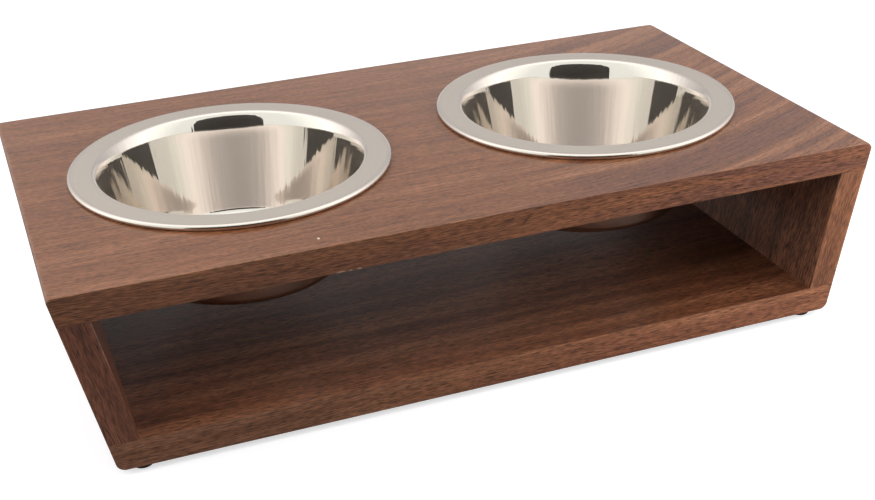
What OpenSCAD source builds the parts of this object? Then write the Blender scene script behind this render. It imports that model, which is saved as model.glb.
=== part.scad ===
// Raised feeder for a dog: four wooden boards make an open box whose ends lean in towards the
// floor, on four small feet. Two stainless steel bowls hang by their rims in holes of the top
// board and lift straight out. The box is laid out around the bowls that it has to hold.
// Millimetres. The origin is on the floor under the middle of the stand, +X along its length,
// +Y to the back and +Z up.

/* [Layout] */
// Wood between a bowl's rim and the end of the top board
end_margin = 25; // [15:0.5:60]
// Wood between a bowl's rim and the front or back of the top board
side_margin = 32.5; // [10:0.5:60]
// Wood between the rims of the two bowls
bowl_gap = 36; // [10:0.5:100]
// Open height between the bottom board and the bowls
under_bowl_space = 23.5; // [10:0.5:100]
// Angle at which the end boards lean in towards the floor
end_lean = 11.7; // [0:0.1:15]
// Radius of the two outer corners along the top of the box
top_corner_radius = 2; // [1:0.5:5]
// Radius of the two outer corners along the bottom of the box
bottom_corner_radius = 4.5; // [1:0.5:5]

/* [Boards] */
// Thickness of the top board
top_thickness = 14.3; // [11:0.1:25]
// Thickness of the bottom board
bottom_thickness = 14.3; // [11:0.1:25]
// Thickness of the end boards
end_thickness = 14.3; // [11:0.1:20]

/* [Bowls] */
// Diameter over the bowl's rolled rim
rim_diameter = 165; // [140:1:260]
// Height of the rolled rim, which rests on the board
rim_bead = 3; // [2.2:0.1:4]
// Depth of the flat that keeps the rolled rim steady on the board
rim_flat = 0.1; // [0.05:0.05:0.2]
// Width of the flat flange, with the rolled rim
flange_width = 12; // [9:0.5:16]
// Outer radius of the tight lip where the flange turns down
lip_radius = 2.5; // [1.5:0.1:3]
// Angle through which the tight lip turns
lip_turn = 60; // [45:1:70]
// Outer radius of the gentle neck between the lip and the wall
neck_radius = 20; // [12:0.5:30]
// Angle of the bowl's wall from upright
wall_draft = 12; // [5:0.5:14]
// Inner radius of the bend between wall and floor
floor_bend_radius = 6; // [3:0.5:12]
// Height of the bowl from rim to underside
bowl_height = 57.5; // [45:0.5:90]
// Thickness of the bowl's steel sheet
sheet_thickness = 0.7; // [0.5:0.1:1.2]
// Height by which the middle of the bowl's floor is pressed up
floor_rise = 1.2; // [0.5:0.1:2]
// Width of the flat ring on which the bowl stands when it is put on a table
standing_ring = 8; // [4:0.5:12]
// Width of the slope between the standing ring and the raised middle
rise_slope = 5; // [3:0.5:8]
// Gap between the bowl's neck and the edge of its hole
hole_clearance = 2; // [0.5:0.1:4]

/* [Dowels] */
// Diameter of a dowel
dowel_diameter = 6; // [4:0.5:8]
// Length of a dowel
dowel_length = 30; // [22:1:36]
// Chamfer at both ends of a dowel
dowel_chamfer = 0.8; // [0.3:0.1:1.2]
// Diametral clearance of a dowel in its holes, filled with glue
dowel_fit = 0.1; // [0.05:0.05:0.3]
// Room for glue beyond each end of a dowel
dowel_end_gap = 0.5; // [0.2:0.1:1.5]
// Wood left between a blind dowel hole and the far face of the top or bottom board
dowel_cover = 3.5; // [2:0.5:5]
// Distance of the outer dowels from the front and back of the boards
dowel_inset = 30; // [15:1:50]

/* [Feet] */
// Diameter of a foot where it is stuck to the board
foot_diameter = 12; // [8:0.5:14]
// Height of a foot
foot_height = 3; // [2:0.5:6]
// Radius of the rounded lower edge of a foot
foot_edge_radius = 1.5; // [0.5:0.1:1.9]
// Amount by which a foot's radius shrinks towards the floor
foot_taper = 0.8; // [0.2:0.1:1.5]
// Distance of a foot's middle from the end of the bottom board
foot_end_inset = 12; // [7:0.5:30]
// Distance of a foot's middle from the front or back of the bottom board
foot_side_inset = 7; // [7:0.5:30]

/* [Hidden] */
$fn = 96;
// Flat steps in an arc of a quarter turn
arc_steps = 8;
// Overshoot of a cut past the face that it opens
cut_over = 1;

stand_length = 2 * end_margin + 2 * rim_diameter + bowl_gap;
stand_depth = 2 * side_margin + rim_diameter;
bowl_drop = bowl_height - rim_bead;
box_height = bottom_thickness + under_bowl_space + bowl_drop;
base_length = stand_length - 2 * box_height * tan(end_lean);
board_floor = foot_height;
board_top = foot_height + box_height;

// Half length of the box, on its outer faces, at a height over the bottom board's underside
function half_length(height) = base_length / 2 + height * tan(end_lean);
// Width of an end board measured level, because the board leans
end_level_width = end_thickness / cos(end_lean);

// Bowl profile, with the board's top surface at height 0
bowl_spacing = rim_diameter + bowl_gap;
rim_radius = rim_diameter / 2;
bead_radius = rim_bead / 2 + rim_flat / 2;
bead_middle = [rim_radius - bead_radius, rim_bead - bead_radius];
// The rim curls on past its lowest point until it nearly meets the flange again
curl_end = -180;
lip_middle = [rim_radius - flange_width, rim_bead - lip_radius];
// Direction from the lip's middle to the point where the lip passes into the neck
lip_end = 90 + lip_turn;
neck_middle = lip_middle - (neck_radius - lip_radius) * [cos(lip_end), sin(lip_end)];
floor_top = sheet_thickness - bowl_drop;
floor_bend_height = floor_top + floor_bend_radius;
// The wall runs in a straight line from the neck to the floor's bend
wall_top = neck_middle + neck_radius * [-cos(wall_draft), sin(wall_draft)];
wall_foot_height = floor_bend_height - floor_bend_radius * sin(wall_draft);
wall_foot_radius = wall_top[0] - (wall_top[1] - wall_foot_height) * tan(wall_draft);
floor_bend_middle = [wall_foot_radius - floor_bend_radius * cos(wall_draft), floor_bend_height];
raised_radius = floor_bend_middle[0] - standing_ring - rise_slope;

// The neck's underside passes the board's top surface at this radius
neck_under = neck_radius - sheet_thickness;
seat_radius = neck_middle[0] - sqrt(pow(neck_under, 2) - pow(neck_middle[1], 2));
hole_radius = seat_radius + hole_clearance;

SIDES = [["left", -1], ["right", 1]];
LEVELS = [["top", 1], ["bottom", -1]];
ENDS = [["front", -1], ["rear", 1]];
ROWS = [["front", -1], ["middle", 0], ["rear", 1]];

function end_board_name(side) = str(side[0], "_end_board");
function bowl_name(side) = str(side[0], "_bowl");
function foot_name(end, side) = str(end[0], "_", side[0], "_foot");
function dowel_name(level, side, row) = str(level[0], "_", side[0], "_", row[0], "_dowel");

// Points of an arc round a middle, from one angle to another
function arc(middle, radius, from, to) =
    let (steps = max(2, ceil(abs(to - from) / 90 * arc_steps)))
    [for (i = [0:steps])
        let (angle = from + (to - from) * i / steps)
        middle + radius * [cos(angle), sin(angle)]];
// The same points without the last, where a second arc carries on from there
function without_last(points) = [for (i = [0:len(points) - 2]) points[i]];

// Outline of the box from the front, on its outer faces, with rounded corners
module box_outline() {
    // An end face's outward normal points down by the lean
    low_reach = bottom_corner_radius * tan((90 - end_lean) / 2);
    high_reach = top_corner_radius * tan((90 + end_lean) / 2);
    low = [base_length / 2 - low_reach, bottom_corner_radius];
    high = [stand_length / 2 - high_reach, box_height - top_corner_radius];
    right = concat(
        arc(low, bottom_corner_radius, -90, -end_lean),
        arc(high, top_corner_radius, -end_lean, 90)
    );
    polygon(concat(right, [for (i = [len(right) - 1:-1:0]) [-right[i][0], right[i][1]]]));
}

// A slice of the box between two heights over the bottom board's underside
module box_slice(from, to) {
    intersection() {
        box_outline();
        translate([-stand_length / 2, from])
            square([stand_length, to - from]);
    }
}

// Turns a front outline into a board as deep as the stand, standing on the feet
module across_depth() {
    translate([0, stand_depth / 2, board_floor])
        rotate([90, 0, 0])
            linear_extrude(stand_depth)
                children();
}

// Depth, along the dowel, of the blind hole in the top or bottom board
function blind_depth(level) =
    ((level > 0 ? top_thickness : bottom_thickness) - dowel_cover) / cos(end_lean);

// Moves a dowel's shape to its joint: local height 0 is the joint, up goes into the top or
// bottom board, along the lean of the end board
module at_joint(level, side, row) {
    joint_height = level > 0 ? box_height - top_thickness : bottom_thickness;
    reach = half_length(joint_height) - end_level_width / 2;
    translate([side * reach, row * (stand_depth / 2 - dowel_inset), board_floor + joint_height])
        rotate([0, side * end_lean + (level > 0 ? 0 : 180), 0])
            children();
}

// Blind holes for the dowels of one joint, in both boards at once
module dowel_holes(level, side) {
    in_board = blind_depth(level);
    in_end = dowel_length - in_board + 2 * dowel_end_gap;
    for (row = ROWS)
        at_joint(level, side, row[1])
            translate([0, 0, -in_end])
                cylinder(h = in_end + in_board, d = dowel_diameter + dowel_fit);
}

module top_board() {
    color("#8a6048")
        difference() {
            across_depth()
                box_slice(box_height - top_thickness, box_height);
            for (side = SIDES)
                translate([side[1] * bowl_spacing / 2, 0, board_top - top_thickness - cut_over])
                    cylinder(h = top_thickness + 2 * cut_over, r = hole_radius);
            for (side = SIDES)
                dowel_holes(1, side[1]);
        }
}

module bottom_board() {
    color("#6b4433")
        difference() {
            across_depth()
                box_slice(0, bottom_thickness);
            for (side = SIDES)
                dowel_holes(-1, side[1]);
        }
}

// A leaning board between the top and bottom boards
module end_board(side) {
    low = bottom_thickness;
    high = box_height - top_thickness;
    color("#764d3a")
        difference() {
            across_depth()
                polygon([
                    [side * half_length(low), low],
                    [side * half_length(high), high],
                    [side * (half_length(high) - end_level_width), high],
                    [side * (half_length(low) - end_level_width), low]
                ]);
            for (level = LEVELS)
                dowel_holes(level[1], side);
        }
}

// One face of the bowl's sheet, from the middle of the floor to the end of the curled rim;
// depth is how far the face lies under the face that shows from above
function bowl_face(depth) = concat(
    [
        [0, floor_top + floor_rise - depth],
        [raised_radius, floor_top + floor_rise - depth],
        [raised_radius + rise_slope, floor_top - depth]
    ],
    arc(floor_bend_middle, floor_bend_radius + depth, -90, -wall_draft),
    without_last(arc(neck_middle, neck_radius - depth, 180 - wall_draft, lip_end)),
    arc(lip_middle, lip_radius - depth, lip_end, 90),
    arc(bead_middle, bead_radius - depth, 90, curl_end)
);

// A bowl drawn from one sheet, with its rim curled over
module bowl(side) {
    upper = bowl_face(0);
    lower = bowl_face(sheet_thickness);
    color("#c9c8c4")
        translate([side * bowl_spacing / 2, 0, board_top])
            rotate_extrude()
                difference() {
                    polygon(concat(upper, [for (i = [len(lower) - 1:-1:0]) lower[i]]));
                    // The rolled rim is flattened where it rests on the board
                    translate([bead_middle[0] - bead_radius, -rim_bead])
                        square([2 * bead_radius, rim_bead]);
                }
}

// A stick-on bumper with a rounded lower edge
module foot(end, side) {
    top_radius = foot_diameter / 2;
    edge_middle = [top_radius - foot_taper - foot_edge_radius, foot_edge_radius];
    color("#2b2523")
        translate([
            side * (base_length / 2 - foot_end_inset),
            end * (stand_depth / 2 - foot_side_inset),
            0
        ])
            rotate_extrude()
                polygon(concat(
                    [[0, 0]],
                    arc(edge_middle, foot_edge_radius, -90, 0),
                    [[top_radius, foot_height], [0, foot_height]]
                ));
}

// A round beech pin with chamfered ends
module dowel(level, side, row) {
    radius = dowel_diameter / 2;
    tip = blind_depth(level) - dowel_end_gap;
    color("#d8b98c")
        at_joint(level, side, row)
            translate([0, 0, tip - dowel_length])
                rotate_extrude()
                    polygon([
                        [0, 0],
                        [radius - dowel_chamfer, 0],
                        [radius, dowel_chamfer],
                        [radius, dowel_length - dowel_chamfer],
                        [radius - dowel_chamfer, dowel_length],
                        [0, dowel_length]
                    ]);
}

top_board();
bottom_board();
for (side = SIDES)
    end_board(side[1]);
for (side = SIDES)
    bowl(side[1]);
for (end = ENDS, side = SIDES)
    foot(end[1], side[1]);
for (level = LEVELS, side = SIDES, row = ROWS)
    dowel(level[1], side[1], row[1]);
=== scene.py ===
# %% [markdown]
# A raised feeder for a dog: four walnut boards make an open box whose ends lean in towards the
# floor, and two stainless steel bowls hang by their rims in holes of the top board. The packed
# part already holds every piece at its real size and place. This lesson gives each of them the
# eased edges, thin sheet and finish of the real object, in the same frame and in metres.

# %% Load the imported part
import math

import bmesh
import bpy
from mathutils import Matrix, Vector


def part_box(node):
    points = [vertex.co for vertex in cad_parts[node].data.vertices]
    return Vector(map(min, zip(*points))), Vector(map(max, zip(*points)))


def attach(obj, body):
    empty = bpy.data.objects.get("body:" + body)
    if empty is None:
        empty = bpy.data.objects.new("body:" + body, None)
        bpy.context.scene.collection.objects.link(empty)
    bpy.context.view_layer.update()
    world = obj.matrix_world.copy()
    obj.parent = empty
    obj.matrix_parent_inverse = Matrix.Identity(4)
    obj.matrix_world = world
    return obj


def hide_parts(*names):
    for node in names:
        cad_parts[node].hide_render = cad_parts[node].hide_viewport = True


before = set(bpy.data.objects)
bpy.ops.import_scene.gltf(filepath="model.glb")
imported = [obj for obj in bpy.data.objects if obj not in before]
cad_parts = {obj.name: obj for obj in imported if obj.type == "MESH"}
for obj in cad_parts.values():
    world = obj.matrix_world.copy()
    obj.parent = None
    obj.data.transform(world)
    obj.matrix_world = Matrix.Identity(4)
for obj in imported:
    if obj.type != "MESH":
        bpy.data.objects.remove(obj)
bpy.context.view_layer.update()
scene = bpy.context.scene
scene.view_settings.view_transform = "Standard"

# %% [markdown]
# The camera stands a little over half a metre in front of the stand, off its left end, and looks
# down and to the right over the top board. A horizontal edge slopes a little more than such a view
# explains, so the camera is also tilted by two degrees. Turning it in three named steps keeps
# each of these angles readable.

# %% Camera
MM = 0.001

CAMERA_PLACE = Vector((-228.67, -656.84, 365.49)) * MM
LOOK_RIGHT = math.radians(20.00)
LOOK_DOWN = math.radians(26.11)
TILT = math.radians(-2.045)
LENS = 57.08
SENSOR_WIDTH = 36.0

camera_data = bpy.data.cameras.new("camera")
camera_data.lens = LENS
camera_data.sensor_width = SENSOR_WIDTH
camera = bpy.data.objects.new("camera", camera_data)
scene.collection.objects.link(camera)
scene.camera = camera
camera.matrix_world = (
    Matrix.Translation(CAMERA_PLACE)
    @ Matrix.Rotation(-LOOK_RIGHT, 4, "Z")
    @ Matrix.Rotation(math.pi / 2 - LOOK_DOWN, 4, "X")
    @ Matrix.Rotation(TILT, 4, "Z")
)
print("camera at", tuple(CAMERA_PLACE), "with a lens of", LENS, "mm")

# %% [markdown]
# Every material here is a small tree of nodes. One function adds a node, sets its options and
# fills its sockets, in their order or by name: a socket that is given another node, or one of its
# outputs, gets a link from there, and any other value is written into it. Colours are written as
# sRGB hex, as a colour picker shows them, and one function turns them into the linear values that
# Blender works with.

# %% Nodes and colours
def linear(colour):
    """Linear RGBA of an sRGB colour written as '#rrggbb'."""
    parts = [int(colour[i:i + 2], 16) / 255 for i in (1, 3, 5)]
    return [p / 12.92 if p <= 0.04045 else ((p + 0.055) / 1.055) ** 2.4 for p in parts] + [1.0]


def add_node(tree, kind, *values, sockets=None, **options):
    """Adds a node with its options, and fills its first sockets and those that are named.

    A socket takes a value, another node's output, or a node, which stands for its first output.
    """
    node = tree.nodes.new("ShaderNode" + kind)
    for name, option in options.items():
        setattr(node, name, option)
    for name, value in (*enumerate(values), *(sockets or {}).items()):
        if isinstance(value, bpy.types.Node):
            value = value.outputs[0]
        if isinstance(value, bpy.types.NodeSocket):
            tree.links.new(value, node.inputs[name])
        else:
            node.inputs[name].default_value = value
    return node


def new_material(name):
    """An empty material and its tree of nodes."""
    material = bpy.data.materials.new(name)
    material.use_nodes = True
    material.node_tree.nodes.clear()
    return material, material.node_tree


WHITE = linear("#ffffff")
print("white is", WHITE, "and mid grey", linear("#808080"))

# %% [markdown]
# The stand is shown on white. For rays from the camera, and for reflections, the room is white;
# for the light that falls on the object it is half as bright, so that lamps can shape the boards.
# The floor is paper that catches the shadow of the stand. To the camera it also glows, so that it
# joins the white of the room wherever some light falls on it, and to reflections it glows a
# little. To all but the camera the paper is mid grey, which throws little light back at the front
# of the stand.

# %% White room and floor
ROOM_LIGHT = 0.53
FLOOR_SIZE = 2.4
FLOOR_GLOW = 0.63
FLOOR_SHINE = 0.15
FLOOR_SEEN = "#cacacc"
FLOOR_BOUNCE = "#7c7c7e"


def seen_directly(tree):
    """1 for rays from the camera and for reflected and refracted rays, 0 for scattered light."""
    path = add_node(tree, "LightPath").outputs
    seen = add_node(tree, "Math", path["Is Camera Ray"], path["Is Glossy Ray"], operation="MAXIMUM")
    return add_node(tree, "Math", seen, path["Is Transmission Ray"], operation="MAXIMUM")


def add_stage(name, bm, material):
    """Turns a mesh into a piece of the studio."""
    mesh = bpy.data.meshes.new(name)
    bm.to_mesh(mesh)
    bm.free()
    mesh.materials.append(material)
    stage = bpy.data.objects.new(name, mesh)
    scene.collection.objects.link(stage)
    return stage


room = bpy.data.worlds.new("white_room")
scene.world = room
room.use_nodes = True
tree = room.node_tree
tree.nodes.clear()
dim = add_node(tree, "Background", sockets={"Color": WHITE, "Strength": ROOM_LIGHT})
full = add_node(tree, "Background", sockets={"Color": WHITE, "Strength": 1.0})
add_node(tree, "OutputWorld", add_node(tree, "MixShader", seen_directly(tree), dim, full))

floor_paper, tree = new_material("matt_white_paper_floor")
path = add_node(tree, "LightPath").outputs
# The colour sockets of a Mix node are its inputs 6 and 7 and its output 2
shade = add_node(tree, "Mix", data_type="RGBA", sockets={
    0: path["Is Camera Ray"], 6: linear(FLOOR_BOUNCE), 7: linear(FLOOR_SEEN)}).outputs[2]
matt = add_node(tree, "BsdfDiffuse", sockets={"Color": shade})
level = add_node(tree, "Math", path["Is Glossy Ray"], FLOOR_SHINE, operation="MULTIPLY")
level = add_node(tree, "Math", path["Is Camera Ray"], FLOOR_GLOW, level, operation="MULTIPLY_ADD")
glow = add_node(tree, "Emission", sockets={"Color": WHITE, "Strength": level})
add_node(tree, "OutputMaterial", add_node(tree, "AddShader", matt, glow))

bm = bmesh.new()
bmesh.ops.create_grid(bm, x_segments=1, y_segments=1, size=FLOOR_SIZE / 2)
add_stage("floor", bm, floor_paper)
print("floor of", FLOOR_SIZE, "m, room light", ROOM_LIGHT)

# %% [markdown]
# The lamps light the wood. A large softbox hangs overhead, a little to the front, and one stands at
# either side. Two small ones stand low in front: the right one is close, so that the front is
# bright at its right and falls off to the left, where the other only fills in. Lamps are hidden
# from reflections, because polished steel shows nothing but its surroundings, and these are built
# for the bowls in the next step.

# %% Softboxes
AIM = Vector((0.0, 0.0, 60.0)) * MM


def add_softbox(name, place, size, brightness):
    """A square soft lamp that only lights surfaces; brightness 1 is that of white paper."""
    lamp = bpy.data.lights.new(name, "AREA")
    lamp.shape = "SQUARE"
    lamp.size = size
    lamp.energy = math.pi * brightness * size ** 2
    holder = bpy.data.objects.new(name, lamp)
    scene.collection.objects.link(holder)
    turn = (AIM - Vector(place)).to_track_quat("-Z", "Y").to_matrix().to_4x4()
    holder.matrix_world = Matrix.Translation(place) @ turn
    holder.visible_camera = False
    holder.visible_glossy = False
    print(name, "power", round(lamp.energy, 2), "W")


add_softbox("overhead_softbox", (0.0, -0.35, 1.3), 1.8, 0.75)
add_softbox("left_softbox", (-0.8, 0.05, 0.55), 0.7, 2.3)
add_softbox("right_softbox", (0.9, -0.1, 0.4), 0.5, 4.1)
add_softbox("low_right_softbox", (0.5, -0.35, 0.09), 0.3, 6.8)
add_softbox("low_left_softbox", (-0.5, -0.9, 0.15), 0.4, 6.0)

# %% [markdown]
# Shiny things are photographed in a tent of white cloth. Here it is half a sphere that only
# reflections see: brightest at the sides and overhead, where the lamps shine through it, dimmer
# and faintly green towards the front, and grey at the back. A ramp from front to back holds these
# tones. The tent is open where the camera looks in. That door shows in the bowls as a dark shape.

# %% Light tent and its door
TENT_RADIUS = 1.3
TENT_BRIGHT = 1.67
TENT_TONES = (
    (0.22, "#d4d7d3"), (0.36, "#eaeee8"), (0.50, "#fffbf8"), (0.65, "#e6e3e0"),
    (0.80, "#bcb9b7"), (0.90, "#a9a7a6"), (0.95, "#9f9d9c"), (0.98, "#b4b2b1"))
DOOR_PLACE = Vector((-0.22, -0.74, 0.0))
DOOR_SIZE = Vector((0.48, 0.68, 1.0))
DOOR_CORNER = 0.22
DOOR_TONE = "#2e2a28"


def set_stops(color_ramp, stops):
    """Gives a ramp its stops, each with a position and an sRGB colour."""
    elements = color_ramp.elements
    for element, (position, colour) in zip(elements[:], (stops[0], stops[-1])):
        element.position = position
        element.color = linear(colour)
    for position, colour in stops[1:-1]:
        elements.new(position).color = linear(colour)


def cut_half(bm, direction):
    """Keeps the half of a mesh that lies on the positive side of its middle."""
    bmesh.ops.bisect_plane(bm, geom=bm.verts[:] + bm.edges[:] + bm.faces[:], clear_inner=True,
                           plane_co=(0.0, 0.0, 0.0), plane_no=direction)


tent_cloth, tree = new_material("white_tent_cloth")
place = add_node(tree, "TexCoord").outputs["Object"]
away = add_node(tree, "SeparateXYZ", place).outputs["Y"]
tone = add_node(tree, "ValToRGB", add_node(tree, "MapRange", away, -TENT_RADIUS, TENT_RADIUS))
set_stops(tone.color_ramp, TENT_TONES)
glow = add_node(tree, "Emission", sockets={"Color": tone, "Strength": TENT_BRIGHT})
add_node(tree, "OutputMaterial", glow)
bm = bmesh.new()
bmesh.ops.create_uvsphere(bm, u_segments=48, v_segments=24, radius=TENT_RADIUS)
cut_half(bm, (0.0, 0.0, 1.0))
tent = add_stage("light_tent", bm, tent_cloth)
tent.matrix_world = Matrix.Rotation(-LOOK_RIGHT, 4, "Z")
tent.visible_camera = False
tent.visible_diffuse = False
tent.visible_shadow = False

dark_cotton, tree = new_material("dark_cotton_cloth")
add_node(tree, "OutputMaterial", add_node(tree, "BsdfDiffuse", sockets={"Color": linear(DOOR_TONE)}))
bm = bmesh.new()
bmesh.ops.create_grid(bm, x_segments=1, y_segments=1, size=1.0)
bmesh.ops.scale(bm, vec=DOOR_SIZE, verts=bm.verts)
bmesh.ops.bevel(bm, geom=bm.verts[:], offset=DOOR_CORNER, offset_type="OFFSET", affect="VERTICES",
                segments=8, profile=0.5, material=-1)
cut_half(bm, (0.0, 1.0, 0.0))
door = add_stage("tent_door", bm, dark_cotton)
door.matrix_world = (
    Matrix.Translation(DOOR_PLACE) @ DOOR_PLACE.to_track_quat("Z", "Y").to_matrix().to_4x4())
door.visible_camera = False
print("tent of", TENT_RADIUS, "m, door", DOOR_SIZE.y, "m high")

# %% [markdown]
# Walnut, planed, sanded and oiled. The eye sees soft greyish ribbons that wander along the board,
# fine fibres inside them, short threads and a speckle of light and dark where the fibres dip, and
# the dark dashes of cut pores. The pattern is solid, as wood is: it is worked out in millimetres
# inside each board, so that a face and the edge next to it belong together. A Mapping node turns
# it along the board's grain and shifts it, which gives each board its own piece of the tree.

# %% Grain of walnut
# Marks have a length along the grain and a width across it, in millimetres. Single fibres are too
# thin to see, so a fibre is drawn as a bundle. Pores are drawn about twice as wide as they are
WANDER = (170.0, 45.0)
RIBBON = (260.0, 12.0)
FIBRE = (40.0, 0.8)
THREAD = (5.5, 0.33)
SPECKLE = (2.4, 1.6)
PORE = (13.0, 0.9)
# The grain swerves with the square of the distance, which is counted in this length
SWERVE_LENGTH = 100.0


def per_mark(size):
    """The scale that counts millimetres in marks of a length and a width."""
    length, width = size
    return 1 / length, 1 / width, 1 / width


def streaks(tree, grain, size, detail=2.0, roughness=0.5):
    """A noise whose marks have a length and a width along the grain."""
    place = add_node(tree, "Mapping", grain, sockets={"Scale": per_mark(size)})
    return add_node(tree, "TexNoise", place, sockets={
        "Scale": 1.0, "Detail": detail, "Roughness": roughness})


def along_grain(tree, place, edge, turn, shift, swerve_from, swerve):
    """The place along the grain in millimetres; past a point, the grain of faces swerves."""
    grain = add_node(tree, "Mapping", place, shift, (0.0, turn, 0.0), (1 / MM,) * 3)
    along = add_node(tree, "SeparateXYZ", place).outputs["X"]
    past = add_node(tree, "Math", along, swerve_from * MM, operation="SUBTRACT")
    past = add_node(tree, "Math", past, SWERVE_LENGTH * MM, operation="DIVIDE")
    past = add_node(tree, "Math", past, 0.0, operation="MAXIMUM")
    past = add_node(tree, "Math", past, 2.0, operation="POWER")
    face = add_node(tree, "Math", 1.0, edge, operation="SUBTRACT")
    past = add_node(tree, "Math", past, face, operation="MULTIPLY")
    return add_node(tree, "VectorMath", past, (0.0, -swerve, 0.0), grain, operation="MULTIPLY_ADD")


print("fibres of", FIBRE, "mm and pores of", PORE, "mm")

# %% [markdown]
# Use shows on the wood too. Edges are rubbed lighter, in patches the length of a finger that break
# up into small chips, and there are a few nicks. These marks lie on top of the grain, so they are
# painted over its colour. How worn a face is comes from a number on the mesh, which is stored
# there when an edge is rounded.

# %% Wear of walnut
WEAR_PATCH = (30.0, 30.0)
WEAR_CHIP = (2.2, 2.2)
# Between which two values of its noise the wear grows, and from how much to how much
PATCH_GROWTH = (0.45, 0.65, 0.1, 1.0)
CHIP_GROWTH = (0.4, 0.6, 0.2, 1.0)
# A nick is full out to half its size, and fades from there to its outline
NICK_FADE = (0.5, 1.0, 1.0, 0.0)
RUBBED_TONE = "#a0714f"


def rubbed(tree, grain, colour):
    """Lightens worn edges, in patches the length of a finger, broken up into small chips."""
    chip = add_node(tree, "MapRange", streaks(tree, grain, WEAR_CHIP), *CHIP_GROWTH)
    patch = add_node(tree, "MapRange", streaks(tree, grain, WEAR_PATCH), *PATCH_GROWTH)
    worn = add_node(tree, "Attribute", attribute_name="worn").outputs["Fac"]
    share = add_node(tree, "Math", chip, patch, operation="MULTIPLY")
    share = add_node(tree, "Math", worn, share, operation="MULTIPLY")
    return add_node(tree, "Mix", data_type="RGBA", sockets={
        0: share, 6: colour, 7: linear(RUBBED_TONE)}).outputs[2]


def nicked(tree, place, colour, nicks):
    """Paints nicks, each with a middle, half its size, a slope in degrees and a tone."""
    for middle, half_size, slope, tone in nicks:
        away = add_node(tree, "Mapping", place, Vector(middle) * MM, (0.0, math.radians(-slope), 0.0),
                        Vector(half_size) * MM, vector_type="TEXTURE")
        away = add_node(tree, "VectorMath", away, operation="LENGTH").outputs["Value"]
        share = add_node(tree, "MapRange", away, *NICK_FADE)
        colour = add_node(tree, "Mix", data_type="RGBA", sockets={
            0: share, 6: colour, 7: linear(tone)}).outputs[2]
    return colour


print("wear in patches of", WEAR_PATCH[0], "mm and chips of", WEAR_CHIP[0], "mm")

# %% [markdown]
# The finish puts grain and wear together. A ramp gives the ribbons their tones, fibres, threads
# and speckle brighten or darken that colour, pores are mixed in, and wear comes last. The front
# and back edges also get painted light and shade along the stand, and a tint. Ribbons may come out
# only from some place on, towards the right. The oil leaves a thin satin sheen, whose roughness
# follows the fibres.

# %% Oiled walnut
# How far the ribbons wander sideways, and the length over which they come out
GRAIN_BEND = 9.0
RIBBONS_GROW = 120.0
# Where along the stand the painted light and shade of its front and back edges starts and stops changing
EDGE_LIGHT_CHANGE = (-90.0, 60.0)
# Strengths of the marks: of ribbons where they start to come out and where they are full, and of
# the others on faces and on edges
RIBBON_STRENGTH = (0.3, 0.9)
FIBRE_STRENGTH = (0.9, 0.5)
EDGE_THREADS = 1.5
SPECKLE_STRENGTH = (0.3, 0.2)
PORE_STRENGTH = (0.15, 0.08)
RIBBON_STOPS = (0.4, 0.5, 0.6)
DARKEST_FIBRE = 0.2
# How far from the middle of its cell a pore starts to fade, and where it is gone
PORE_CORE = (0.1, 0.3)
# How squarely a surface faces the front or back to start counting as an edge, and to count fully
EDGE_FACING = (0.6, 0.9)
PORE_TONE = "#3a2014"
OIL_IOR = 1.45
ROUGHNESS_SWING = 0.05
GRAIN_DEPTH = 0.15 * MM
GRAIN_RELIEF = 0.2


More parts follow.
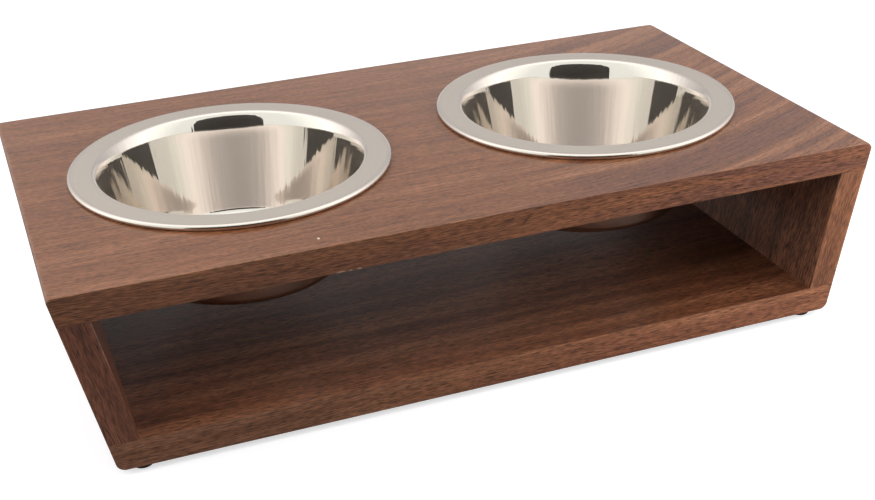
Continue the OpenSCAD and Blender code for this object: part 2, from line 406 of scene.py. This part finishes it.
def oiled_walnut(name, turn, shift, tones, threads, edge_light_shade=(1.0, 1.0), edge_tint_and_sheen="#ffffff",
                 smoothness=0.7, ribbons_from=-1000.0, swerve=0.0, nicks=()):
    """Walnut with its grain turned about the depth of the stand, and shifted in millimetres.

    The tones are those of a dark ribbon, plain wood and a light ribbon, and the threads are the
    strength of the finest lines on the faces. The edge light and shade is painted light: it
    brightens or darkens the front and back edges at the left and the right, as lamps would light
    them. The edge tint colours these edges; on the bottom board it paints part of a sheen. To the
    right of where the ribbons come out, the grain of the faces swerves towards the back.
    """
    material, tree = new_material(name)
    place = add_node(tree, "TexCoord").outputs["Object"]
    along = add_node(tree, "SeparateXYZ", place).outputs["X"]
    # The front and back edges are cut from another side of the tree than the faces: the grain doesn't
    # swerve, and fibres and pores show less. Their tone along the board is painted light and shade
    normal = add_node(tree, "NewGeometry").outputs["Normal"]
    facing = add_node(tree, "SeparateXYZ", normal).outputs["Y"]
    facing = add_node(tree, "Math", facing, operation="ABSOLUTE")
    edge = add_node(tree, "MapRange", facing, *EDGE_FACING)
    # Painted light and shade: the front and back edges are made lighter or darker along the stand
    painted_edge_light = add_node(tree, "MapRange", along, EDGE_LIGHT_CHANGE[0] * MM, EDGE_LIGHT_CHANGE[1] * MM,
                         edge_light_shade[0] - 1.0, edge_light_shade[1] - 1.0)
    painted_edge_light = add_node(tree, "Math", painted_edge_light, edge, 1.0, operation="MULTIPLY_ADD")

    grain = along_grain(tree, place, edge, turn, shift, ribbons_from, swerve)
    # Ribbons wander a few millimetres sideways over the length of a hand
    wander = streaks(tree, grain, WANDER).outputs["Color"]
    bent = add_node(tree, "VectorMath", wander, (0.0, GRAIN_BEND, GRAIN_BEND), grain,
                    operation="MULTIPLY_ADD")

    ribbon = streaks(tree, bent, RIBBON, roughness=0.55)
    strength = add_node(tree, "MapRange", along, ribbons_from * MM,
                        (ribbons_from + RIBBONS_GROW) * MM, *RIBBON_STRENGTH)
    swing = add_node(tree, "Math", ribbon, 0.5, operation="SUBTRACT")
    swing = add_node(tree, "Math", swing, strength, 0.5, operation="MULTIPLY_ADD")
    shown = add_node(tree, "ValToRGB", swing)
    set_stops(shown.color_ramp, tuple(zip(RIBBON_STOPS, tones)))

    fibre = streaks(tree, bent, FIBRE, roughness=0.6)
    thread = streaks(tree, bent, THREAD, detail=1.0)
    speckle = streaks(tree, bent, SPECKLE, detail=0.0)
    light = 1.0
    for noise, (on_faces, on_edges) in (
            (fibre, FIBRE_STRENGTH), (thread, (threads, EDGE_THREADS)), (speckle, SPECKLE_STRENGTH)):
        strength = add_node(tree, "MapRange", edge, 0.0, 1.0, 2 * on_faces, 2 * on_edges)
        swing = add_node(tree, "Math", noise, 0.5, operation="SUBTRACT")
        light = add_node(tree, "Math", swing, strength, light, operation="MULTIPLY_ADD")
    light = add_node(tree, "Math", light, DARKEST_FIBRE, operation="MAXIMUM")
    # The painted light and shade of the edges lightens or darkens the grain there
    light = add_node(tree, "Math", light, painted_edge_light, operation="MULTIPLY")
    # The edge tint colours the edges; on the bottom board it paints part of a sheen
    for share, tint in ((1.0, light), (edge, linear(edge_tint_and_sheen))):
        shown = add_node(tree, "Mix", data_type="RGBA", blend_type="MULTIPLY", sockets={
            0: share, 6: shown, 7: tint}).outputs[2]

    cells = add_node(tree, "Mapping", bent, sockets={"Scale": per_mark(PORE)})
    cells = add_node(tree, "TexVoronoi", cells, sockets={"Scale": 1.0})
    core = add_node(tree, "MapRange", cells, *PORE_CORE, 1.0, 0.0)
    strength = add_node(tree, "MapRange", edge, 0.0, 1.0, *PORE_STRENGTH)
    pore = add_node(tree, "Math", core, strength, operation="MULTIPLY")
    shown = add_node(tree, "Mix", data_type="RGBA", sockets={
        0: pore, 6: shown, 7: linear(PORE_TONE)}).outputs[2]
    shown = nicked(tree, place, rubbed(tree, grain, shown), nicks)

    roughness = 1.0 - smoothness
    rough = add_node(tree, "MapRange", fibre, 0.0, 1.0,
                     roughness - ROUGHNESS_SWING, roughness + ROUGHNESS_SWING)
    sunk = add_node(tree, "Math", light, pore, operation="SUBTRACT")
    relief = add_node(tree, "Bump", sockets={
        "Height": sunk, "Strength": GRAIN_RELIEF, "Distance": GRAIN_DEPTH})
    oil = add_node(tree, "BsdfPrincipled", sockets={
        "Base Color": shown, "Roughness": rough, "IOR": OIL_IOR, "Normal": relief})
    add_node(tree, "OutputMaterial", oil)
    return material


print("oiled walnut with an IOR of", OIL_IOR)

# %% [markdown]
# Each board comes from another place in the tree, and the tones differ from board to board. The
# right end's tones are also painted lighter, for light on its shaded inner face, and the front and
# back edges of all but the left end carry painted light and shade. The grain of the end boards runs
# down along their lean. On the top board the ribbons only come out towards the right, and only this
# board has nicks.

# %% Walnut of the four boards
END_LEAN = math.radians(11.7)
QUARTER = math.pi / 2
CHIPPED = "#bf9f83"
# A scratch on the front edge, a chip on top, and chips and a rubbed stretch low on the front edge
TOP_NICKS = (
    ((13.9, -115.0, 89.6), (4.8, 1.0, 0.45), 43.6, "#502a1b"),
    ((-85.0, -105.2, 95.3), (0.8, 1.2, 0.5), 0.0, "#ead4bc"),
    ((-78.3, -115.0, 81.3), (2.8, 1.0, 0.5), 0.0, CHIPPED),
    ((-73.6, -115.0, 81.2), (1.1, 1.0, 0.6), 0.0, CHIPPED),
    ((-69.5, -115.0, 81.4), (1.4, 1.0, 0.5), 0.0, CHIPPED),
    ((-17.5, -115.0, 81.5), (7.0, 1.0, 0.4), 0.0, "#96745a"),
)
# The top board's front and back edges are painted darker at the left and lighter at the right
walnut_top = oiled_walnut(
    "oiled_walnut_top", 0.0, (40, 24, 5), ("#6d4433", "#815135", "#916145"), 0.7,
    edge_light_shade=(0.9, 1.25), smoothness=0.83, ribbons_from=20.0, swerve=15.0, nicks=TOP_NICKS)
# The bottom board's front and back edges are painted lighter, much more so at the right, and their bluish
# tint paints part of a sheen
walnut_bottom = oiled_walnut(
    "oiled_walnut_bottom", 0.0, (900, 260, 71), ("#673b26", "#7b4b31", "#89573c"), 2.0,
    edge_light_shade=(1.26, 2.4), edge_tint_and_sheen="#e6f4ff", smoothness=0.6)
walnut_left = oiled_walnut(
    "oiled_walnut_left_end", QUARTER + END_LEAN, (300, 500, 33),
    ("#623928", "#764733", "#82523b"), 2.0)
# The right end's tones are painted lighter, which stands in for light on its shaded inner face; its front
# and back edges are painted darker again
walnut_right = oiled_walnut(
    "oiled_walnut_right_end", QUARTER - END_LEAN, (700, 90, 160),
    ("#855740", "#9c674a", "#aa7355"), 2.6, edge_light_shade=(0.8, 0.8), edge_tint_and_sheen="#fff9f0")
print("walnut for four boards")

# %% [markdown]
# Each board starts as a plain form with sharp edges, which are then eased with the bevel operator,
# as a maker breaks them with sandpaper after the glue has set. So an edge is eased only where it is
# free: where two boards meet, their faces are flush and the joint is no more than a line. One
# helper finds edges by their ends, one rounds them and marks the new faces as worn, and one turns
# the finished mesh into a piece that stands for its CAD node.

# %% Helpers for boards
NEAR = 0.02 * MM
EASE = 0.5 * MM
OUTER_STEPS = 3
INNER_STEPS = 2
CORNER_STEPS = 8
FULL_WEAR = 1.0
HOLE_WEAR = 0.5
SLIGHT_WEAR = 0.3
END_THICKNESS = 14.3 * MM


def edges_between(bm, test):
    """Edges whose two ends both pass a test on their place."""
    return [edge for edge in bm.edges if all(test(vert.co) for vert in edge.verts)]


def round_edges(bm, edges, reach, steps, wear):
    """Rounds edges, shades the new faces smooth and marks their wear."""
    layer = bm.faces.layers.float.get("worn") or bm.faces.layers.float.new("worn")
    made = bmesh.ops.bevel(bm, geom=edges, offset=reach, offset_type="OFFSET", affect="EDGES",
                           segments=steps, profile=0.5, material=-1, clamp_overlap=True)
    for face in made["faces"]:
        face.smooth = True
        face[layer] = wear


def split_at(bm, reach):
    """Cuts a board's faces across at both joints, without parting it."""
    for side in (-1, 1):
        bmesh.ops.bisect_plane(bm, geom=bm.verts[:] + bm.edges[:] + bm.faces[:], dist=NEAR,
                               plane_co=(side * reach, 0.0, 0.0), plane_no=(1.0, 0.0, 0.0))


def make_piece(bm, name, node, body, material):
    """Turns a mesh into a piece that rides on a body and stands for a CAD node."""
    mesh = bpy.data.meshes.new(name)
    bmesh.ops.recalc_face_normals(bm, faces=bm.faces)
    bm.to_mesh(mesh)
    bm.free()
    mesh.materials.append(material)
    piece = bpy.data.objects.new(name, mesh)
    scene.collection.objects.link(piece)
    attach(piece, body)
    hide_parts(node)
    low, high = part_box(node)
    mesh.calc_loop_triangles()
    off = max(abs(value) for corner, box in ((low, 0), (high, 6))
              for value in (Vector(piece.bound_box[box]) - corner))
    print(name, len(mesh.loop_triangles), "triangles, box off by", round(off / MM, 3), "mm")


top_low, top_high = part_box("top_board")
base_low, base_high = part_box("bottom_board")
end_low, end_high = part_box("right_end_board")
level_width = END_THICKNESS / math.cos(END_LEAN)
front, back = top_low.y, top_high.y


def outer_reach(height):
    """Distance from the middle of the stand to an end's outer face at a height."""
    return end_high.x + (height - end_high.z) * math.tan(END_LEAN)


def on_face(co):
    """Whether a point lies on the front or back face of the stand."""
    return min(abs(co.y - front), abs(co.y - back)) < NEAR


print("half length at the top", round(outer_reach(top_high.z) / MM, 2), "mm")

# %% [markdown]
# The top board has two round holes. A grid per bowl, emptied of its faces, gives the outline, a
# circle gives the hole, and bridge_loops spans the two with even strips. The halves are joined,
# extruded down to the board's thickness, and the ends are pulled in to the lean. The upper corners
# of the ends are rounded with a radius of 2 mm, and the right one a little more, as it is on the
# real stand.

# %% Top board
TOP_CORNERS = {-1: 2.0 * MM, 1: 3.0 * MM}
# As far out as the bowl's neck where it passes the top of the board, and 2 mm of room
HOLE_RADIUS = 70.207 * MM
HOLE_EASE = 1.0 * MM
SIDE_STEPS = 24
bowl_reach = (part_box("right_bowl")[0].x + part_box("right_bowl")[1].x) / 2
top_reach = outer_reach(top_high.z)
under_reach = outer_reach(top_low.z)
joint_reach = under_reach - level_width


def on_hole(co):
    """Whether a point of the top board lies on the wall of a bowl's hole."""
    centre = Vector((math.copysign(bowl_reach, co.x), 0.0))
    return abs((co.xy - centre).length - HOLE_RADIUS) < NEAR


bm = bmesh.new()
for side in (-1, 1):
    half = bmesh.ops.create_grid(bm, x_segments=SIDE_STEPS, y_segments=SIDE_STEPS, size=0.5)["verts"]
    bmesh.ops.scale(bm, vec=(top_reach, back - front, 1.0), verts=half)
    bmesh.ops.translate(bm, vec=(side * top_reach / 2, 0.0, top_high.z), verts=half)
    inner = {face for vert in half for face in vert.link_faces}
    bmesh.ops.delete(bm, geom=list(inner), context="FACES_KEEP_BOUNDARY")
    outline = [edge for edge in bm.edges if not edge.link_faces]
    centre = Matrix.Translation((side * bowl_reach, 0.0, top_high.z))
    bmesh.ops.create_circle(bm, cap_ends=False, radius=HOLE_RADIUS, segments=4 * SIDE_STEPS, matrix=centre)
    hole = [edge for edge in bm.edges if not edge.link_faces and edge not in outline]
    bmesh.ops.bridge_loops(bm, edges=outline + hole)
bmesh.ops.remove_doubles(bm, verts=bm.verts, dist=NEAR)
down = bmesh.ops.extrude_face_region(bm, geom=bm.faces[:])["geom"]
lower = [part for part in down if isinstance(part, bmesh.types.BMVert)]
bmesh.ops.translate(bm, vec=(0.0, 0.0, top_low.z - top_high.z), verts=lower)
for side in (-1, 1):
    tip = [vert for vert in lower if abs(vert.co.x - side * top_reach) < NEAR]
    bmesh.ops.translate(bm, vec=(side * (under_reach - top_reach), 0.0, 0.0), verts=tip)
split_at(bm, joint_reach)
bmesh.ops.recalc_face_normals(bm, faces=bm.faces)
for side, radius in TOP_CORNERS.items():
    corner = edges_between(bm, lambda co: abs(co.z - top_high.z) < NEAR
                           and abs(co.x - side * top_reach) < NEAR)
    reach = radius * math.tan((QUARTER + END_LEAN) / 2)
    round_edges(bm, corner, reach, CORNER_STEPS, SLIGHT_WEAR)
outer = edges_between(bm, lambda co: on_face(co) and (
    co.z > top_low.z + NEAR or abs(co.x) > under_reach - NEAR))
round_edges(bm, outer, EASE, OUTER_STEPS, FULL_WEAR)
inner = edges_between(bm, lambda co: on_face(co) and abs(co.z - top_low.z) < NEAR
                      and abs(co.x) < joint_reach + NEAR)
round_edges(bm, inner, EASE, INNER_STEPS, FULL_WEAR)
rims = [edge for edge in edges_between(bm, on_hole)
        if abs(edge.verts[0].co.z - edge.verts[1].co.z) < NEAR]
round_edges(bm, rims, HOLE_EASE, OUTER_STEPS, HOLE_WEAR)
make_piece(bm, "top_board_walnut", "top_board", "stand", walnut_top)

# %% [markdown]
# The bottom board is a block whose underside is shorter than its upper face, by the lean of the
# ends. Its lower end corners are rounded with a radius of 4.5 mm.

# %% Bottom board
BOTTOM_CORNER = 4.5 * MM
shelf_reach = outer_reach(base_high.z)
base_reach = outer_reach(base_low.z)
joint_reach = shelf_reach - level_width

bm = bmesh.new()
block = bmesh.ops.create_cube(bm, size=1.0)["verts"]
bmesh.ops.scale(bm, vec=(2 * shelf_reach, back - front, base_high.z - base_low.z), verts=block)
bmesh.ops.translate(bm, vec=(0.0, 0.0, (base_high.z + base_low.z) / 2), verts=block)
under = [vert for vert in bm.verts if vert.co.z < base_low.z + NEAR]
bmesh.ops.scale(bm, vec=(base_reach / shelf_reach, 1.0, 1.0), verts=under)
split_at(bm, joint_reach)
corners = edges_between(bm, lambda co: abs(co.z - base_low.z) < NEAR
                        and abs(abs(co.x) - base_reach) < NEAR)
reach = BOTTOM_CORNER * math.tan((QUARTER - END_LEAN) / 2)
round_edges(bm, corners, reach, CORNER_STEPS, SLIGHT_WEAR)
outer = edges_between(bm, lambda co: on_face(co) and (
    co.z < base_high.z - NEAR or abs(co.x) > shelf_reach - NEAR))
round_edges(bm, outer, EASE, OUTER_STEPS, FULL_WEAR)
inner = edges_between(bm, lambda co: on_face(co) and abs(co.z - base_high.z) < NEAR
                      and abs(co.x) < joint_reach + NEAR)
round_edges(bm, inner, EASE, INNER_STEPS, FULL_WEAR)
make_piece(bm, "bottom_board_walnut", "bottom_board", "stand", walnut_bottom)

# %% [markdown]
# An end board is a block sheared to its lean, between the other two. Only its four long edges on
# the front and back of the stand are free. Hands and paws rub the outer ones more than the inner
# ones.

# %% End boards
for name, side, walnut in (("left", -1, walnut_left), ("right", 1, walnut_right)):
    bm = bmesh.new()
    block = bmesh.ops.create_cube(bm, size=1.0)["verts"]
    height = end_high.z - end_low.z
    bmesh.ops.scale(bm, vec=(level_width, back - front, height), verts=block)
    bmesh.ops.transform(bm, matrix=Matrix.Shear("XY", 4, (side * math.tan(END_LEAN), 0.0)), verts=block)
    middle = (end_high.z + end_low.z) / 2
    centre = side * (outer_reach(middle) - level_width / 2)
    bmesh.ops.translate(bm, vec=(centre, 0.0, middle), verts=block)
    for is_outer, steps, wear in ((True, OUTER_STEPS, FULL_WEAR), (False, INNER_STEPS, SLIGHT_WEAR)):
        long_edges = [
            edge for edge in edges_between(bm, on_face)
            if abs(edge.verts[0].co.z - edge.verts[1].co.z) > height / 2
            and all((abs(vert.co.x) > outer_reach(vert.co.z) - level_width / 2) == is_outer
                    for vert in edge.verts)]
        round_edges(bm, long_edges, EASE, steps, wear)
    make_piece(bm, name + "_end_board_walnut", name + "_end_board", "stand", walnut)

# %% [markdown]
# The bowls are drawn from stainless sheet of 0.7 mm. Inside they are polished like a mirror, the
# flat flange is brushed to an even satin, and the rolled rim shines again because fingers and
# cloths run along it. One steel serves all three: a number stored on the mesh says how satin each
# ring of the surface is. Drawing the sheet leaves faint upright ridges in the wall, which make
# the mirrored edges ragged, and brushing leaves fine rings on the flange. Fine scratches from
# washing up spread a small share of the light, which lifts the darkest reflections.

# %% Stainless steel
MIRROR_ROUGHNESS = 0.04
SATIN_ROUGHNESS = 0.36
RING_ROUGHNESS = 0.12
MIRROR_TINT = "#e2dbd4"
SATIN_TINT = "#d6cec5"
HAZE = 0.08
HAZE_ROUGHNESS = 0.5
# Ridges and rings in millimetres, how often the rings change round the rim, and their relief
RIDGE_WIDTH = 2.6
RIDGE_LENGTH = 45.0
RING_WIDTH = 0.5
RING_CHANGES = 4.0
WALL_RADIUS = 61.0
RIDGE_RELIEF = {"Strength": 0.6, "Distance": 0.1 * MM}
RING_RELIEF = {"Strength": 0.2, "Distance": 0.03 * MM}


def drawn_steel(name, centre):
    """Stainless steel whose rings and ridges run round an upright axis at a centre."""
    material, tree = new_material(name)
    place = add_node(tree, "TexCoord").outputs["Object"]
    local = add_node(tree, "Mapping", place, (-centre / MM, 0.0, 0.0), sockets={"Scale": (1 / MM,) * 3})
    satin = add_node(tree, "Attribute", attribute_name="satin").outputs["Fac"]
    flat = add_node(tree, "VectorMath", local, (1.0, 1.0, 0.0), operation="MULTIPLY")
    radius = add_node(tree, "VectorMath", flat, operation="LENGTH").outputs["Value"]
    round_way = add_node(tree, "VectorMath", flat, operation="NORMALIZE")
    # Ridges: a pattern that changes round the wall and hardly along its height
    height = add_node(tree, "VectorMath", local, (0.0, 0.0, 1 / RIDGE_LENGTH), operation="MULTIPLY")
    ridge_place = add_node(tree, "VectorMath", round_way, (WALL_RADIUS / RIDGE_WIDTH,) * 3, height,
                           operation="MULTIPLY_ADD")
    ridges = add_node(tree, "TexNoise", ridge_place, sockets={"Scale": 1.0, "Detail": 1.0})
    # Rings: a pattern that changes with the radius and slowly round the rim
    step = add_node(tree, "Math", radius, 1 / RING_WIDTH, operation="MULTIPLY")
    step = add_node(tree, "CombineXYZ", sockets={"Z": step})
    ring_place = add_node(tree, "VectorMath", round_way, (RING_CHANGES,) * 3, step,
                          operation="MULTIPLY_ADD")
    rings = add_node(tree, "TexNoise", ring_place, sockets={"Scale": 1.0, "Detail": 2.0})
    brushed = add_node(tree, "Math", rings, satin, operation="MULTIPLY")
    rough = add_node(tree, "MapRange", satin, 0.0, 1.0, MIRROR_ROUGHNESS, SATIN_ROUGHNESS)
    rough = add_node(tree, "Math", brushed, RING_ROUGHNESS, rough, operation="MULTIPLY_ADD")
    relief = add_node(tree, "Bump", sockets={"Height": ridges, **RIDGE_RELIEF})
    relief = add_node(tree, "Bump", sockets={"Height": brushed, "Normal": relief, **RING_RELIEF})
    tint = add_node(tree, "Mix", data_type="RGBA", sockets={
        0: satin, 6: linear(MIRROR_TINT), 7: linear(SATIN_TINT)}).outputs[2]
    polished, hazy = (add_node(tree, "BsdfPrincipled", sockets={
        "Base Color": tint, "Metallic": 1.0, "Roughness": roughness, "Normal": relief,
    }) for roughness in (rough, HAZE_ROUGHNESS))
    add_node(tree, "OutputMaterial", add_node(tree, "MixShader", HAZE, polished, hazy))
    return material


print("steel roughness", MIRROR_ROUGHNESS, "to", SATIN_ROUGHNESS)

# %% [markdown]
# A bowl is a turned shape, and so is a foot: its section is drawn once and spun round an upright
# axis. The section is drawn like a pen stroke on the plane y = 0. A line extrudes the last point,
# and an arc spins it round the bend's middle. A short test shows which way an arc turns.

# %% Strokes of a section
def draw_line(bm, tip, goal, steps):
    """Draws a straight stroke of the section from its tip to a goal (radius, height)."""
    stride = (Vector((goal[0], 0.0, goal[1])) - tip.co) / steps
    for _ in range(steps):
        tip = bmesh.ops.extrude_vert_indiv(bm, verts=[tip])["verts"][0]
        bmesh.ops.translate(bm, vec=stride, verts=[tip])
    return tip


def draw_arc(bm, tip, middle, angle, steps):
    """Draws an arc of the section round a middle (radius, height)."""
    made = bmesh.ops.spin(bm, geom=[tip], cent=(middle[0], 0.0, middle[1]), axis=(0.0, 1.0, 0.0),
                          angle=angle, steps=steps, use_merge=False)
    return [part for part in made["geom_last"] if isinstance(part, bmesh.types.BMVert)][0]


def turn_section(bm, steps):
    """Spins a section once round the upright axis and closes the seam."""
    bmesh.ops.spin(bm, geom=bm.verts[:] + bm.edges[:], cent=(0.0, 0.0, 0.0), axis=(0.0, 0.0, 1.0),
                   angle=2 * math.pi, steps=steps, use_merge=True)
    bmesh.ops.remove_doubles(bm, verts=bm.verts, dist=NEAR / 10)


bm = bmesh.new()
tip = draw_arc(bm, bm.verts.new((1.0, 0.0, 0.0)), (0.0, 0.0), QUARTER, 4)
print("a quarter arc from the right of its middle ends at a height of", round(tip.co.z, 3))
bm.free()

# %% [markdown]
# The bowl's section runs from the middle of the floor up to the curled rim and back along the
# underside. The satin number is stored on the section's points, and the spin copies it round. The
# curled rim is flattened a little where it rests on the board.

# %% Bowls
BEAD_RADIUS = 1.55 * MM
FLANGE_WIDTH = 12.0 * MM
LIP_RADIUS = 2.5 * MM
LIP_TURN = math.radians(60.0)
NECK_RADIUS = 20.0 * MM
WALL_DRAFT = math.radians(12.0)
FLOOR_BEND = 6.0 * MM
SHEET = 0.7 * MM
FLOOR_RISE = 1.2 * MM
STANDING_RING = 8.0 * MM
RISE_SLOPE = 5.0 * MM
CURL = math.radians(270.0)
FLOOR_TURN = QUARTER - WALL_DRAFT
NECK_TURN = FLOOR_TURN - LIP_TURN
# Where the upper side turns satin at the lip and bright again at the rim, and over what distance
SATIN_FROM = 69.2 * MM
SATIN_OVER = 1.4 * MM
BRIGHT_FROM = 80.2 * MM
BRIGHT_OVER = 1.0 * MM
RIM_POLISH = 0.7
UNDERSIDE_SATIN = 0.3
# Steps of each stroke of the section, and of the turn
FLOOR_STEPS = 8
RISE_STEPS = 4
RING_STEPS = 4
BEND_STEPS = 18
WALL_STEPS = 12
NECK_STEPS = 12
LIP_STEPS = 16
FLANGE_STEPS = 6
CURL_STEPS = 30
ROUND_STEPS = 192


def satin_at(radius):
    """How satin the upper side is at a radius: mirror inside, satin flange, bright rim."""
    lip = min(max((radius - SATIN_FROM) / SATIN_OVER, 0.0), 1.0)
    rim = min(max((radius - BRIGHT_FROM) / BRIGHT_OVER, 0.0), 1.0)
    return lip * (1.0 - RIM_POLISH * rim)


def make_bowl(name, node):
    """Draws a bowl's section, turns it and dresses it in steel."""
    low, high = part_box(node)
    centre = (low.x + high.x) / 2
    rim_radius = (high.x - low.x) / 2
    bead = (rim_radius - BEAD_RADIUS, high.z - BEAD_RADIUS)
    lip = (rim_radius - FLANGE_WIDTH, high.z - LIP_RADIUS)
    # The neck carries on from the lip, so the middles of both arcs are in line with that point
    neck = (lip[0] + (NECK_RADIUS - LIP_RADIUS) * math.sin(LIP_TURN),
            lip[1] - (NECK_RADIUS - LIP_RADIUS) * math.cos(LIP_TURN))
    floor_top = low.z + SHEET
    wall_top = (neck[0] - NECK_RADIUS * math.cos(WALL_DRAFT), neck[1] + NECK_RADIUS * math.sin(WALL_DRAFT))
    wall_foot_height = floor_top + FLOOR_BEND * (1 - math.sin(WALL_DRAFT))
    wall_foot = wall_top[0] - (wall_top[1] - wall_foot_height) * math.tan(WALL_DRAFT)
    corner = (wall_foot - FLOOR_BEND * math.cos(WALL_DRAFT), floor_top + FLOOR_BEND)
    foot_reach = FLOOR_BEND + SHEET
    under_foot = (corner[0] + foot_reach * math.cos(WALL_DRAFT),
                  corner[1] - foot_reach * math.sin(WALL_DRAFT))
    raised = corner[0] - STANDING_RING - RISE_SLOPE
    # Two equal arcs make the soft step between the raised middle and the standing ring
    step_radius = (RISE_SLOPE ** 2 + FLOOR_RISE ** 2) / (4 * FLOOR_RISE)
    step_turn = 2 * math.atan(FLOOR_RISE / RISE_SLOPE)
    step_high = (raised, floor_top + FLOOR_RISE - step_radius)
    step_low = (raised + RISE_SLOPE, floor_top + step_radius)

    bm = bmesh.new()
    satin = bm.verts.layers.float.new("satin")
    tip = bm.verts.new((0.0, 0.0, floor_top + FLOOR_RISE))
    tip = draw_line(bm, tip, (raised, floor_top + FLOOR_RISE), FLOOR_STEPS)
    tip = draw_arc(bm, tip, step_high, step_turn, RISE_STEPS)
    tip = draw_arc(bm, tip, step_low, -step_turn, RISE_STEPS)
    tip = draw_line(bm, tip, (corner[0], floor_top), RING_STEPS)
    tip = draw_arc(bm, tip, corner, -FLOOR_TURN, BEND_STEPS)
    tip = draw_line(bm, tip, wall_top, WALL_STEPS)
    tip = draw_arc(bm, tip, neck, NECK_TURN, NECK_STEPS)
    tip = draw_arc(bm, tip, lip, LIP_TURN, LIP_STEPS)
    tip = draw_line(bm, tip, (bead[0], high.z), FLANGE_STEPS)
    tip = draw_arc(bm, tip, bead, CURL, CURL_STEPS)
    for vert in bm.verts:
        vert[satin] = satin_at(vert.co.x)
    upper = set(bm.verts)
    tip = draw_line(bm, tip, (bead[0] - BEAD_RADIUS + SHEET, bead[1]), 1)
    tip = draw_arc(bm, tip, bead, -CURL, CURL_STEPS)
    tip = draw_line(bm, tip, (lip[0], high.z - SHEET), FLANGE_STEPS)
    tip = draw_arc(bm, tip, lip, -LIP_TURN, LIP_STEPS)
    tip = draw_arc(bm, tip, neck, -NECK_TURN, NECK_STEPS)
    tip = draw_line(bm, tip, under_foot, WALL_STEPS)
    tip = draw_arc(bm, tip, corner, FLOOR_TURN, BEND_STEPS)
    tip = draw_line(bm, tip, (step_low[0], low.z), RING_STEPS)
    tip = draw_arc(bm, tip, step_low, step_turn, RISE_STEPS)
    tip = draw_arc(bm, tip, step_high, -step_turn, RISE_STEPS)
    draw_line(bm, tip, (0.0, low.z + FLOOR_RISE), FLOOR_STEPS)
    for vert in bm.verts:
        if vert not in upper:
            vert[satin] = UNDERSIDE_SATIN
    turn_section(bm, ROUND_STEPS)
    for vert in bm.verts:
        if vert.co.xy.length > lip[0]:
            vert.co.z = max(vert.co.z, top_high.z)
    for face in bm.faces:
        face.smooth = True
    bmesh.ops.translate(bm, vec=(centre, 0.0, 0.0), verts=bm.verts)
    make_piece(bm, name, node, node, drawn_steel(name + "_drawn_stainless", centre))


make_bowl("left_bowl_steel", "left_bowl")
make_bowl("right_bowl_steel", "right_bowl")

# %% [markdown]
# The feet are stick-on bumpers of black rubber, moulded with a matt skin. They are turned shapes
# too, with a rounded lower edge.

# %% Rubber feet
RUBBER_TONES = ("#241c18", "#382b25")
SKIN_GRAIN = 0.4 * MM
FOOT_EDGE = 1.5 * MM
FOOT_TAPER = 0.8 * MM
FOOT_STEPS = 64
FOOT_LINE_STEPS = 2
FOOT_EDGE_STEPS = 6

rubber, tree = new_material("moulded_black_rubber")
place = add_node(tree, "TexCoord").outputs["Object"]
place = add_node(tree, "Mapping", place, sockets={"Scale": (1 / SKIN_GRAIN,) * 3})
skin = add_node(tree, "TexNoise", place, sockets={"Scale": 1.0, "Detail": 3.0})
dark, light = (linear(tone) for tone in RUBBER_TONES)
tone = add_node(tree, "Mix", data_type="RGBA", sockets={0: skin, 6: dark, 7: light}).outputs[2]
grip = add_node(tree, "Bump", sockets={"Height": skin, "Strength": 0.3, "Distance": 0.1 * MM})
matt = add_node(tree, "BsdfPrincipled", sockets={
    "Base Color": tone, "Roughness": 0.7, "IOR": 1.52, "Normal": grip})
add_node(tree, "OutputMaterial", matt)

for end in ("front", "rear"):
    for side in ("left", "right"):
        node = end + "_" + side + "_foot"
        low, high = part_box(node)
        radius = (high.x - low.x) / 2
        flat_radius = radius - FOOT_TAPER - FOOT_EDGE
        bm = bmesh.new()
        tip = bm.verts.new((0.0, 0.0, low.z))
        tip = draw_line(bm, tip, (flat_radius, low.z), FOOT_LINE_STEPS)
        tip = draw_arc(bm, tip, (flat_radius, low.z + FOOT_EDGE), -QUARTER, FOOT_EDGE_STEPS)
        tip = draw_line(bm, tip, (radius, high.z), FOOT_LINE_STEPS)
        draw_line(bm, tip, (0.0, high.z), FOOT_LINE_STEPS)
        turn_section(bm, FOOT_STEPS)
        for face in bm.faces:
            face.smooth = low.z + NEAR < face.calc_center_median().z < high.z - NEAR
        bmesh.ops.translate(bm, vec=((low.x + high.x) / 2, (low.y + high.y) / 2, 0.0), verts=bm.verts)
        make_piece(bm, node + "_rubber", node, "stand", rubber)

# %% [markdown]
# Beech dowels hold the joints, out of sight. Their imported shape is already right, so they stay,
# with beech's pale straight grain and short brown flecks, which run upright.

# %% Beech dowels
BEECH_GRAIN = Vector((0.8, 0.8, 12.0)) * MM
BEECH_FLECK = Vector((0.9, 0.9, 2.5)) * MM
BEECH_TONES = ("#c39a6b", "#e0c295")
FLECK_TONE = "#8f6236"
# How far from the middle of its cell a fleck starts to fade and is gone, and its strength
FLECK_CORE = (0.1, 0.25)
FLECK_STRENGTH = 0.5

beech, tree = new_material("turned_beech")
place = add_node(tree, "TexCoord").outputs["Object"]
grain_place, fleck_place = (
    add_node(tree, "Mapping", place, sockets={"Scale": [1 / part for part in size]})
    for size in (BEECH_GRAIN, BEECH_FLECK))
grain = add_node(tree, "TexNoise", grain_place, sockets={"Scale": 1.0, "Detail": 3.0})
dark, light = (linear(tone) for tone in BEECH_TONES)
tone = add_node(tree, "Mix", data_type="RGBA", sockets={0: grain, 6: dark, 7: light}).outputs[2]
cells = add_node(tree, "TexVoronoi", fleck_place, sockets={"Scale": 1.0})
fleck = add_node(tree, "MapRange", cells, *FLECK_CORE, FLECK_STRENGTH, 0.0)
tone = add_node(tree, "Mix", data_type="RGBA", sockets={
    0: fleck, 6: tone, 7: linear(FLECK_TONE)}).outputs[2]
turned = add_node(tree, "BsdfPrincipled", sockets={"Base Color": tone, "Roughness": 0.6, "IOR": 1.5})
add_node(tree, "OutputMaterial", turned)

dowels = [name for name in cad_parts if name.endswith("_dowel")]
for name in dowels:
    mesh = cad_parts[name].data
    mesh.materials.clear()
    mesh.materials.append(beech)
print(len(dowels), "dowels in beech")
